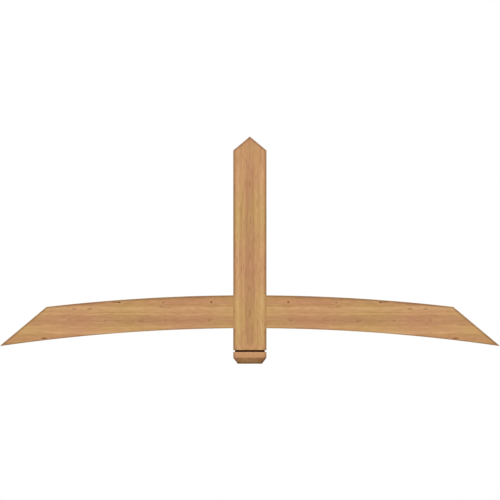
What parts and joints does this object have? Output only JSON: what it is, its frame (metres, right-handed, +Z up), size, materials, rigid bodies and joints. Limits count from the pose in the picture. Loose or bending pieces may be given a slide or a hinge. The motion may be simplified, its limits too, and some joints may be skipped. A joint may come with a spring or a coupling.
{
  "type": "decorative gable truss",
  "caption": "Cedar gable truss: a king post with a pointed head and a grooved, chamfered tail, between arched half ties cut to the roof slope, joined by hidden dowels.",
  "frame": {"origin": "on the back face of the king post, on the truss centreline, level with the tips of the ties", "axes": "+X along the gable to the right, +Y back towards the wall, +Z up"},
  "size_m": [1.524, 0.1016, 0.6939],
  "materials": {
    "cedar": "planed smooth, unfinished",
    "beech": "turned smooth, unfinished"
  },
  "bodies": {
    "root": {"king_post": "cedar", "left_arched_tie": "cedar", "right_arched_tie": "cedar", "left_upper_dowel": "beech", "left_lower_dowel": "beech", "right_upper_dowel": "beech", "right_lower_dowel": "beech"}
  },
  "joints": []
}
